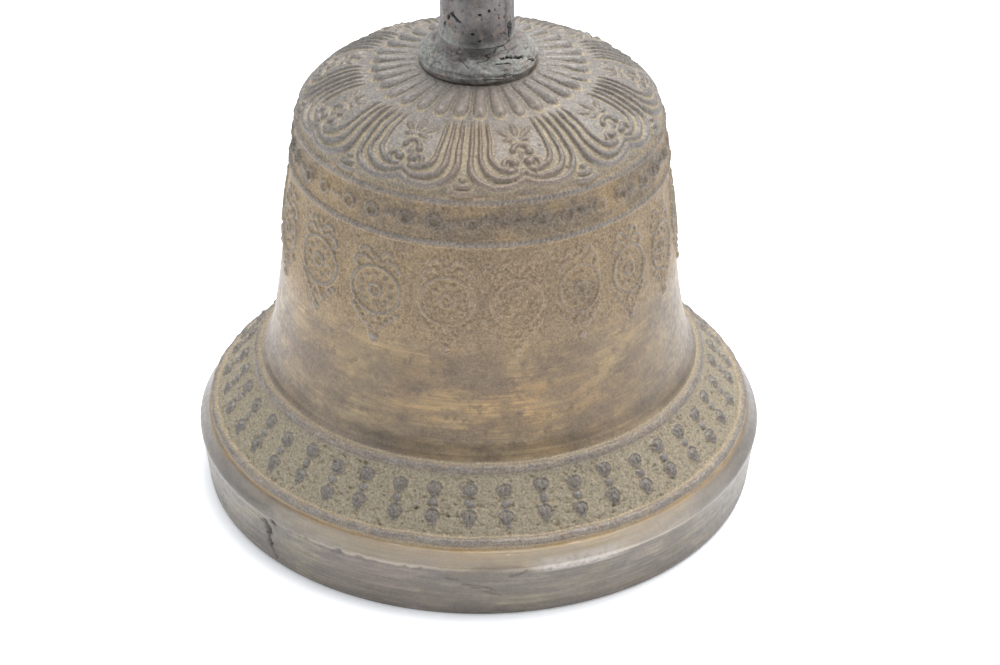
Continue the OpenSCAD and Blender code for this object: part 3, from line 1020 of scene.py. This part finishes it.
def grip_relief(turn, s, height):
    """Lobes above and below a middle belt of lozenges between two cords."""
    lobes = 10
    low, high = height.min(), height.max()
    middle = (low + high) / 2
    u = np.abs(turn_offset(turn, lobes, 0)[0]) * 2 * lobes
    away = np.abs(height - middle)
    body = window(3.4, 4.4, 9.0, 10.6, away)
    lobe = 1.15 * share(1 - (u / 0.94) ** 2) ** 0.55
    tongue = ridge(u, 0.16) * 0.22 * window(4.6, 5.2, 7.6, 8.6, away)
    lift = body * (lobe + tongue)
    lift += 0.65 * (1 - smooth(2.9, 3.3, away))
    strand = 0.5 + 0.5 * np.cos(TAU * (turn * 64 + height * 0.6))
    lift += ridge(away - 2.45, 0.5) * (0.35 + 0.3 * strand)
    x = np.abs(turn_offset(turn, lobes * 2, 0)[0]) * TAU * BELT_R
    diamond = share(1 - x / 1.25 - away / 1.55)
    lift += 0.6 * smooth(0, 0.45, diamond) - 0.18 * ridge(diamond - 0.42, 0.12)
    lift += 0.35 * ridge(away - 10.2, 0.7)
    return lift + worn_skin(turn, s, 250, 0.8), 0, 0.25 * (lift < 0.2)


def leaf_band_relief(count, seed):
    """A plain turned moulding with small upright leaves."""
    def relief(turn, s, height):
        u = np.abs(turn_offset(turn, count, 0)[0]) * 2 * count
        leaf = 0.45 * share(1 - (u / 0.85) ** 2) ** 0.6 * window(0.08, 0.2, 0.8, 0.92, s / s.max())
        return leaf + worn_skin(turn, s, seed, 0.6), 0, 0.25 * (leaf < 0.1)
    return relief


def make_handle():
    """Every section of the handle that is turned round the rod, with its outline as radius and
    share of the height, from the top down."""
    collar = [(5.6, 1), (5.8, 0.93), (6.6, 0.84), (7.7, 0.7), (8.6, 0.5), (9.05, 0.28), (8.95, 0.1),
              (8.7, 0)]
    neck = [(5.5, 1), (5.5, 0.34), (5.55, 0.1), (5.6, 0)]
    beads = [(6.1, 1), (6.5, 0.7), (6.6, 0.5), (6.5, 0.3), (6.1, 0)]
    lotus = [(6.1, 1), (6.4, 0.84), (8.0, 0.56), (9.4, 0.27), (9.3, 0.12), (7.6, 0)]
    raised_lotus = [(8.4, 1), (9.5, 0.9), (9.6, 0.75), (8.2, 0.44), (6.4, 0.16), (6.1, 0)]
    grip = [(5.9, 1), (6.4, 0.90), (7.2, 0.75), (7.6, 0.5), (7.2, 0.25), (6.4, 0.10), (5.9, 0)]
    base = [(7.3, 1), (8.0, 0.62), (8.9, 0.42), (8.9, 0.18), (8.1, 0)]
    sections = (
        ("handle_collar", collar, collar_relief, 720, 0.09, 0.3, (0.0, 0.35)),
        ("handle_neck", neck, neck_relief, 600, 0.09, 0.3, (0.35, 0.0)),
        ("lower_bead_ring", beads, bead_relief(18), 720, 0.09),
        ("upper_bead_ring", beads, bead_relief(18), 720, 0.09),
        ("lower_lotus", lotus, lotus_relief(8, True), 720, 0.12),
        ("upper_lotus", raised_lotus, lotus_relief(8, False), 720, 0.12),
        ("grip", grip, grip_relief, 720, 0.12, 1.2),
        ("finial_base", base, leaf_band_relief(16, 260), 720, 0.10),
    )
    pieces = []
    for node, profile, *how in sections:
        low, high = node_box(node)
        outline = [(radius, low.z + part * (high.z - low.z)) for radius, part in profile]
        pieces.append(turned_piece(node, outline, *how))
    return pieces


def make_spike():
    """The screwed spike in the middle, solid above the rod's end."""
    low, high = node_box("center_prong")
    rod_end = node_box("handle_rod")[1].z + 0.2
    outline = [(0, high.z), (1.35, high.z), (1.35, 165.5), (2.1, 160.5), (3.3, 154), (3.5, 150.5),
               (2.9, 147.5), (2.75, low.z + 4), (2.9, low.z)]

    def relief(turn, s, height):
        rings = sum(0.45 * ridge(height - place, 0.55) for place in (145.0, 146.4, 156.8, 162.6))
        twist = 0.22 * np.cos(TAU * turn * 6) * window(147.5, 149, 154, 156, height)
        return rings + twist + worn_skin(turn, s, 270, 0.5), 0, 0.2
    hole = [(BORE_R, low.z), (BORE_R, rod_end), (0, rod_end)]
    return turned_piece("center_prong", outline, relief, 240, 0.2, 0.5, hole=hole)


def make_cap():
    """The jewel that closes the finial, with a socket for the spike's end."""
    low, high = node_box("finial_cap")
    outline = [(0, high.z), (0.5, high.z - 0.3), (1.3, 177.4), (2.8, 176.4), (3.5, 175.2), (3.2, 174.5),
               (3.9, 174.0), (4.9, 173.4), (4.9, 172.8), (4.1, low.z)]
    hole = [(1.42, low.z), (1.42, low.z + 2), (0, low.z + 2)]

    def relief(turn, s, height):
        leaf = 0.35 * np.cos(TAU * turn * 8) * ridge(height - 173.1, 0.8)
        facet = 0.18 * np.cos(TAU * turn * 8 + math.pi) * ridge(height - 175.7, 1.1)
        return leaf + facet + worn_skin(turn, s, 280, 0.5), 0, 0.2
    return turned_piece("finial_cap", outline, relief, 360, 0.12, 0.25, hole=hole)


# Each prong's turn round the axis
PRONGS = {"prong_front": 0, "prong_right": 0.25, "prong_back": 0.5, "prong_left": 0.75}
PRONG_FOOT_R = 5.2
PRONG_TIP_R = 3.4
PRONG_REACH = 12.0


def make_prong(node, direction):
    """One side prong: a ridged bar swept along its bow, with three rings near its foot and two
    near its tip. direction is the prong's turn round the axis."""
    low, high = node_box(node)
    tall = high.z - low.z
    bow = PRONG_REACH - (PRONG_FOOT_R + PRONG_TIP_R) / 2
    arc = (tall * tall / 4 + bow * bow) / (2 * bow)
    span = math.asin(tall / 2 / arc)
    rows, columns = 260, 64
    t = np.linspace(0, 1, rows)
    swing = span * (2 * t - 1)
    path_r = PRONG_FOOT_R + (PRONG_TIP_R - PRONG_FOOT_R) * t + arc * np.cos(swing) - (arc - bow)
    path_z = low.z + tall / 2 + arc * np.sin(swing) * (tall / 2) / (arc * math.sin(span))
    along = np.stack([np.gradient(path_r), np.gradient(path_z)], -1)
    along /= np.linalg.norm(along, axis=1)[:, None]
    level = share(np.minimum(t, 1 - t) / 0.04)[:, None]
    along = along * level + np.array([0, 1.0]) * (1 - level)
    along /= np.linalg.norm(along, axis=1)[:, None]
    distance = t * tall
    size = 1.5 + 0.35 * np.sin(math.pi * share(t / 0.62)) - 0.45 * smooth(0.55, 1.0, t)
    for place, width, rise in ((3.2, 0.55, 0.3), (4.7, 0.9, 0.6), (6.2, 0.55, 0.3), (27.5, 0.7, 0.35),
                               (29.2, 0.5, 0.2)):
        size += rise * ridge(distance - place, width)
    around = np.arange(columns) / columns
    turn, s = np.meshgrid(around, distance)
    keel = 0.26 * ridge(((turn + 0.5) % 1.0 - 0.5) * TAU, 0.55)
    section = 1 + 0.07 * np.cos(2 * TAU * turn) + keel * smooth(7.0, 9.5, s)
    skin = 0.05 * noise(turn, s, 12, 1.2, 290, 3)
    fade = smooth(0, 0.5, s) * (1 - smooth(tall - 0.5, tall, s))
    size = size[:, None] * section + skin * fade
    size = np.minimum(size, 1.7 + 2 * fade)
    angle = TAU * turn
    out = size * np.cos(angle)
    side = size * np.sin(angle)
    point_r = path_r[:, None] + out * along[:, 1:]
    point_z = path_z[:, None] - out * along[:, :1]
    point_z[0] = low.z
    point_z[-1] = high.z
    heading = TAU * direction
    x = point_r * math.sin(heading) + side * math.cos(heading)
    y = -point_r * math.cos(heading) + side * math.sin(heading)
    grid = np.stack([x, y, point_z], -1)
    foot = np.repeat(grid[:1].mean(1, keepdims=True), columns, 1)
    tip = np.repeat(grid[-1:].mean(1, keepdims=True), columns, 1)
    grid = np.concatenate([foot, grid, tip])[::-1]
    piece = grid_mesh(node, grid, closed=False)
    crest = np.concatenate([[0], smooth(1.6, 2.1, size.mean(1)), [0]])[::-1, None] + np.zeros((1, columns))
    paint(piece, "relief", 0.7 * crest, 0 * crest, 0 * crest, 0.2 + 0 * crest)
    weld_poles(piece, len(grid), columns)
    return stand_in(piece, node, "bell")


# ---------------------------------------------------------------- the clapper

# Height of the bob's centre, a little above the middle of its cut-off ball
BOB_HEIGHT = 10.6


def make_clapper():
    """The forged bob with hammer facets, and the collar above it on the stem."""
    stem_bore = 1.75
    low, high = node_box("clapper_bob")
    ball_r = (high.x - low.x) / 2
    middle = BOB_HEIGHT
    start = math.asin((high.z - middle) / ball_r)
    end = math.asin((low.z - middle) / ball_r)
    arc = [(ball_r * math.cos(a), middle + ball_r * math.sin(a)) for a in np.linspace(start, end, 24)]

    def hammered(turn, s, height):
        dents = np.abs(noise(turn, s, 9, 3.2, 300, 2))
        return -0.28 * (1 - dents) - 0.04 + 0.04 * noise(turn, s, 60, 0.7, 301, 3), 0, 0
    hole = [(stem_bore, low.z), (stem_bore, high.z)]
    iron = {"body": "clapper", "finish": "dark_iron"}
    bob = turned_piece("clapper_bob", arc, hammered, 360, 0.25, 0.2, hole=hole, **iron)
    low, high = node_box("clapper_collar")
    collar = [(stem_bore + 0.9, high.z), (3.7, high.z - 0.8), (4.1, low.z + 0.9), (3.8, low.z)]

    def filed(turn, s, height):
        return 0.07 * noise(turn, s, 30, 0.8, 310, 3) - 0.03, 0, 0
    hole = [(stem_bore, low.z), (stem_bore, high.z)]
    return bob, turned_piece("clapper_collar", collar, filed, 240, 0.15, 0.2, hole=hole, **iron)


# ---------------------------------------------------------------- materials

class Nodes:
    """Short helper for building a material's node tree."""

    def __init__(self, name):
        self.material = bpy.data.materials.new(name)
        self.material.use_nodes = True
        self.tree = self.material.node_tree
        self.shader = self.tree.nodes["Principled BSDF"]

    def feed(self, socket, value):
        """Links an input to another node's output, or sets it to a plain value."""
        if isinstance(value, bpy.types.NodeSocket):
            self.tree.links.new(value, socket)
        else:
            socket.default_value = value

    def make(self, kind, inputs):
        """A new node with the given inputs, by name or place."""
        node = self.tree.nodes.new("ShaderNode" + kind)
        for socket, value in inputs.items():
            self.feed(node.inputs[socket], value)
        return node

    def finish(self, color, metal, rough, normal):
        """Feeds the shader, and gives the material."""
        inputs = {"Base Color": color, "Metallic": metal, "Roughness": rough, "Normal": normal}
        for name, value in inputs.items():
            self.feed(self.shader.inputs[name], value)
        return self.material

    def attribute(self, name):
        """The four masks of a colour attribute."""
        node = self.make("Attribute", {})
        node.attribute_name = name
        split = self.make("SeparateColor", {0: node.outputs["Color"]})
        return (*split.outputs[:3], node.outputs["Alpha"])

    def place(self):
        """The point in object space, in metres."""
        return self.make("TexCoord", {}).outputs["Object"]

    def depth(self):
        """Distance behind the axis in metres; the front is negative."""
        return self.make("SeparateXYZ", {0: self.place()}).outputs["Y"]

    def noise(self, scale, detail=5, roughness=0.55, stretch=(1, 1, 1)):
        """Noise with `scale` cells per metre, times stretch along each axis."""
        vector = self.make("Mapping", {"Vector": self.place(), "Scale": stretch}).outputs[0]
        inputs = {"Vector": vector, "Scale": scale, "Detail": detail, "Roughness": roughness}
        return self.make("TexNoise", inputs).outputs["Fac"]

    def ramp(self, factor, low, high):
        """Maps low..high of the factor to 0..1, clamped."""
        return self.make("MapRange", {"Value": factor, "From Min": low, "From Max": high}).outputs[0]

    def patches(self, scale, low, high, *noise):
        """Noise sharpened into patches: 0 below low and 1 above high."""
        return self.ramp(self.noise(scale, *noise), low, high)

    def math(self, operation, a, b, clamp=False):
        node = self.make("Math", {0: a, 1: b})
        node.operation = operation
        node.use_clamp = clamp
        return node.outputs[0]

    def times(self, a, b, clamp=False):
        return self.math("MULTIPLY", a, b, clamp)

    def plus(self, a, b, clamp=False):
        return self.math("ADD", a, b, clamp)

    def less(self, a, b, clamp=False):
        return self.math("SUBTRACT", a, b, clamp)

    def larger(self, a, b, clamp=False):
        return self.math("MAXIMUM", a, b, clamp)

    def mix(self, factor, a, b, blend="MIX"):
        """Blends two colours, each a triple or another node's output."""
        colors = [c if isinstance(c, bpy.types.NodeSocket) else (*c, 1) for c in (a, b)]
        node = self.tree.nodes.new("ShaderNodeMix")
        node.data_type = "RGBA"
        node.blend_type = blend
        for socket, value in ((0, factor), (6, colors[0]), (7, colors[1])):
            self.feed(node.inputs[socket], value)
        return node.outputs[2]

    def layers(self, color, *layers):
        """Lays tints over a colour in turn. Each layer is a mask, its strength and the tint."""
        for mask, strength, tint in layers:
            color = self.mix(self.times(mask, strength), color, tint)
        return color

    def bump(self, height, distance, **normal):
        """distance is in millimetres."""
        inputs = {"Height": height, "Distance": distance * MM, "Strength": 1.0, **normal}
        return self.make("Bump", inputs).outputs[0]


def old_bronze(n, ashen, cloud, patch, grit):
    """The cast skin: brown with ochre grains, and ash grey on the crown and in the band."""
    brown = n.mix(patch, (0.19, 0.132, 0.088), (0.24, 0.168, 0.104))
    grains = n.mix(cloud, (0.34, 0.25, 0.14), (0.46, 0.31, 0.135))
    mottle = n.patches(380, 0.46, 0.58, 7, 0.72)
    old = n.layers(brown, (grit, 0.72, grains), (mottle, 0.32, (0.47, 0.345, 0.175)))
    return n.mix(ashen, old, n.mix(n.times(grit, 0.6), (0.215, 0.203, 0.199), (0.345, 0.324, 0.302)))


def waist_gold(n, cloud, patch, grit, strokes, streaks):
    """The rubbed waist: gold with mauve tarnish, spots, scratches and turning strokes."""
    gold = n.mix(cloud, (0.34, 0.228, 0.115), (0.52, 0.385, 0.195))
    mauve = n.mix(patch, (0.15, 0.112, 0.096), (0.088, 0.066, 0.056))
    rosy = n.patches(52, 0.51, 0.60, 6, 0.65)
    worn = n.patches(60, 0.44, 0.57, 10, 0.74, (1, 1, 2.1))
    broken = n.patches(170, 0.50, 0.56, 9, 0.75, (1, 1, 1.7))
    scratches = n.patches(1, 0.54, 0.64, 6, 0.8, (110, 110, 5200))
    spots = n.patches(520, 0.58, 0.66, 4, 0.6)
    return n.layers(
        gold,
        (rosy, 0.6, (0.56, 0.34, 0.14)),
        (worn, 0.8, mauve),
        (broken, 0.42, (0.125, 0.092, 0.075)),
        (scratches, 0.45, (0.11, 0.083, 0.066)),
        (spots, 0.6, (0.10, 0.075, 0.06)),
        (streaks, 0.5, (0.155, 0.118, 0.088)),
        (strokes, 0.5, (0.15, 0.112, 0.08)),
        (grit, 0.22, (0.40, 0.31, 0.19)),
    )


def band_khaki(n, grit):
    """The band's pitted ground."""
    pinhole = n.patches(1700, 0.37, 0.43, 5, 0.7)
    return n.mix(pinhole, (0.09, 0.08, 0.062), n.mix(grit, (0.225, 0.191, 0.128), (0.31, 0.264, 0.172)))


def recess_dust_and_highlight(n, ashen, ground, grit):
    """Dirt in the recesses, also laid as a pale line on the ridges' upper lips, where on the inner ridge
    it paints a highlight: ochre on the waist's relief, paler on the crown and in the band.
    """
    dusty = n.mix(grit, (0.31, 0.245, 0.15), (0.46, 0.375, 0.235))
    ochre = n.mix(grit, (0.32, 0.225, 0.12), (0.52, 0.385, 0.22))
    return n.mix(n.larger(ashen, ground), ochre, dusty)


def crest_steel(n, ashen, cloud, grit):
    """Handled grey metal on the relief's crests."""
    steel = n.mix(cloud, (0.17, 0.162, 0.158), (0.275, 0.262, 0.252))
    pale = n.mix(cloud, (0.235, 0.232, 0.238), (0.32, 0.312, 0.315))
    return n.layers(steel, (ashen, 0.8, pale), (grit, 0.3, (0.35, 0.32, 0.28)))


def slope_tan(n, strokes, streaks):
    """The slope above the rim: tan at the front and slate grey further round."""
    tan = n.mix(strokes, (0.56, 0.465, 0.335), (0.41, 0.34, 0.25))
    tan = n.layers(tan, (streaks, 0.7, (0.40, 0.35, 0.295)))
    slate = n.mix(streaks, (0.27, 0.257, 0.245), (0.21, 0.197, 0.187))
    return n.mix(n.times(n.ramp(n.depth(), -0.043, -0.027), 0.85), tan, slate)


def rim_grey(n, cloud, patch, streaks):
    """The rim's scraped grey wall."""
    tint = n.patches(48, 0.44, 0.56, 5, 0.6, (1, 1, 2))
    tint = n.mix(tint, (0.29, 0.235, 0.208), (0.33, 0.29, 0.21))
    drag = n.patches(1, 0.43, 0.57, 7, 0.7, (80, 80, 1700))
    return n.layers(
        n.mix(streaks, tint, (0.168, 0.148, 0.136)),
        (cloud, 0.35, (0.29, 0.265, 0.235)),
        (drag, 0.55, (0.135, 0.118, 0.105)),
        (patch, 0.4, (0.19, 0.167, 0.128)),
    )


def tarnish_and_shade_tint(n, tarnish_and_shade, plain):
    """The near-black colour of tarnish and of painted shade, with an orange blush at its edges outside the
    plain places.
    """
    blush = n.times(n.patches(130, 0.50, 0.60, 5, 0.6), n.less(1.0, n.ramp(tarnish_and_shade, 0.55, 0.9)))
    blush = n.times(blush, n.less(1.0, plain), clamp=True)
    return n.mix(blush, (0.095, 0.08, 0.07), (0.33, 0.215, 0.10))


def bell_material():
    """Old bronze: grey-brown crests, beige dirt in the recesses, golden rubbed waist, and some painted
    light and shade.
    """
    n = Nodes("bell_bronze")
    crest, recess, ground, rubbed = n.attribute("relief")
    polish, stain, tarnish_and_shade, inner = n.attribute("zones")
    wall, slope, worn_and_painted_light, ashen = n.attribute("rim")
    cloud = n.patches(60, 0.38, 0.62)
    patch = n.patches(150, 0.42, 0.58, 6, 0.6)
    grit = n.patches(2900, 0.42, 0.60, 4, 0.65)
    speck = n.patches(1100, 0.42, 0.58, 5, 0.65)
    brushed = n.noise(1, 5, 0.7, (60, 60, 3400))
    strokes = n.ramp(brushed, 0.40, 0.62)
    streaks = n.patches(1, 0.40, 0.60, 7, 0.66, (150, 150, 620))
    smoother = n.larger(polish, n.plus(wall, slope), clamp=True)
    coarser = n.less(1.0, n.times(smoother, 0.75))

    color = n.mix(n.larger(polish, n.times(rubbed, 0.5), clamp=True),
                  old_bronze(n, ashen, cloud, patch, grit),
                  waist_gold(n, cloud, patch, grit, strokes, streaks))
    color = n.mix(ground, color, band_khaki(n, grit))
    color = n.layers(color, (recess, 0.85, recess_dust_and_highlight(n, ashen, ground, grit)))
    amber = n.mix(grit, (0.37, 0.205, 0.105), (0.56, 0.335, 0.165))
    color = n.mix(n.times(crest, n.times(rubbed, 1.5), clamp=True), color, amber)
    hard = n.less(0.8, n.times(n.larger(rubbed, n.times(ashen, 0.15)), 0.8))
    color = n.mix(n.times(crest, hard, clamp=True), color, crest_steel(n, ashen, cloud, grit))
    color = n.mix(slope, color, slope_tan(n, strokes, streaks))
    color = n.layers(color, (stain, n.ramp(patch, -0.6, 0.8), (0.46, 0.31, 0.145)))
    color = n.mix(wall, color, rim_grey(n, cloud, patch, streaks))
    # Pale scraped metal at the rim, and painted light on the front gadroons.
    color = n.layers(color, (worn_and_painted_light, n.ramp(speck, -0.4, 0.6), (0.56, 0.51, 0.47)))
    shade = tarnish_and_shade_tint(n, tarnish_and_shade, n.larger(smoother, ashen))
    # Tarnish, and painted shade under the ridges, on the gadroons' heads and on the slope at the left
    # front.
    color = n.mix(n.times(tarnish_and_shade, 0.8, clamp=True), color, shade)
    color = n.mix(inner, color, n.mix(strokes, (0.20, 0.155, 0.105), (0.13, 0.10, 0.07)))
    fleck = n.mix(n.patches(3000, 0.36, 0.64, 3), (0.035, 0.03, 0.026), (0.64, 0.56, 0.45))
    color = n.layers(color, (coarser, 0.2, fleck))
    color = n.mix(1.0, color, (0.80, 0.80, 0.80), "MULTIPLY")

    dusted = n.larger(n.larger(recess, ground), stain, clamp=True)
    metal = n.less(0.6, n.times(dusted, 0.5))
    rough = n.less(0.60, n.times(n.less(smoother, stain, clamp=True), 0.18))
    rough = n.plus(rough, n.times(n.less(speck, 0.5), 0.12))
    grainy = n.times(n.noise(2300, 6, 0.75), coarser)
    return n.finish(color, metal, rough, n.bump(grainy, 0.075, Normal=n.bump(brushed, 0.025)))


def handle_material():
    """Dark cast handle: mauve-grey metal with brown and tan tints, verdigris and black cracks."""
    n = Nodes("handle_metal")
    crest, recess, crack, green = n.attribute("relief")
    cloud = n.patches(170, 0.40, 0.60, 5, 0.6)
    patch = n.patches(260, 0.45, 0.60, 5, 0.6)
    grit = n.patches(2100, 0.42, 0.60, 4, 0.65)
    spot = n.patches(520, 0.53, 0.62, 5, 0.65)
    color = n.layers(
        n.mix(cloud, (0.105, 0.095, 0.094), (0.215, 0.198, 0.19)),
        (patch, 0.6, (0.105, 0.088, 0.085)),
        (spot, 0.55, (0.30, 0.215, 0.165)),
        (crest, 0.4, (0.26, 0.245, 0.235)),
        (recess, 0.75, (0.085, 0.078, 0.07)),
        (green, 0.6, n.mix(grit, (0.19, 0.21, 0.19), (0.37, 0.385, 0.34))),
        (grit, 0.22, (0.40, 0.365, 0.34)),
    )
    color = n.mix(crack, color, (0.025, 0.03, 0.027))
    metal = n.less(0.5, n.times(green, 0.35))
    rough = n.plus(0.48, n.times(grit, 0.16))
    coarse = n.bump(n.noise(700, 4, 0.6), 0.06)
    return n.finish(color, metal, rough, n.bump(n.noise(2200, 4, 0.7), 0.04, Normal=coarse))


def iron_material():
    """Forged iron: nearly black, with rust-brown bloom and rubbed patches."""
    n = Nodes("dark_iron")
    cloud = n.patches(220, 0.40, 0.60, 5, 0.6)
    rust = n.patches(380, 0.47, 0.60, 6, 0.65)
    grit = n.patches(2600, 0.42, 0.60, 4, 0.65)
    color = n.layers(
        n.mix(cloud, (0.045, 0.040, 0.037), (0.085, 0.075, 0.068)),
        (rust, 0.65, (0.135, 0.070, 0.038)),
        (grit, 0.2, (0.20, 0.17, 0.15)),
    )
    metal = n.less(0.8, n.times(rust, 0.6))
    rough = n.plus(0.46, n.times(rust, 0.3))
    return n.finish(color, metal, rough, n.bump(n.noise(900, 5, 0.65), 0.09))


def put_material(thing, material):
    """Gives the whole of an object one material."""
    thing.data.materials.clear()
    thing.data.materials.append(material)


make_camera()
make_light()
make_floor()
bell = make_bell()
put_material(bell, bell_material())
metal = handle_material()
iron = iron_material()
handle_pieces = [*make_handle(), make_spike(), make_cap()]
for node, direction in PRONGS.items():
    handle_pieces.append(make_prong(node, direction))
for piece in handle_pieces:
    put_material(piece, metal)
for piece in make_clapper():
    put_material(piece, iron)
for node in ("handle_rod", "crown_washer", "crown_nut", "hanger_ring", "clapper_stem", "clapper_rivet"):
    put_material(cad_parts[node], iron)

bpy.context.scene.view_settings.view_transform = "Standard"
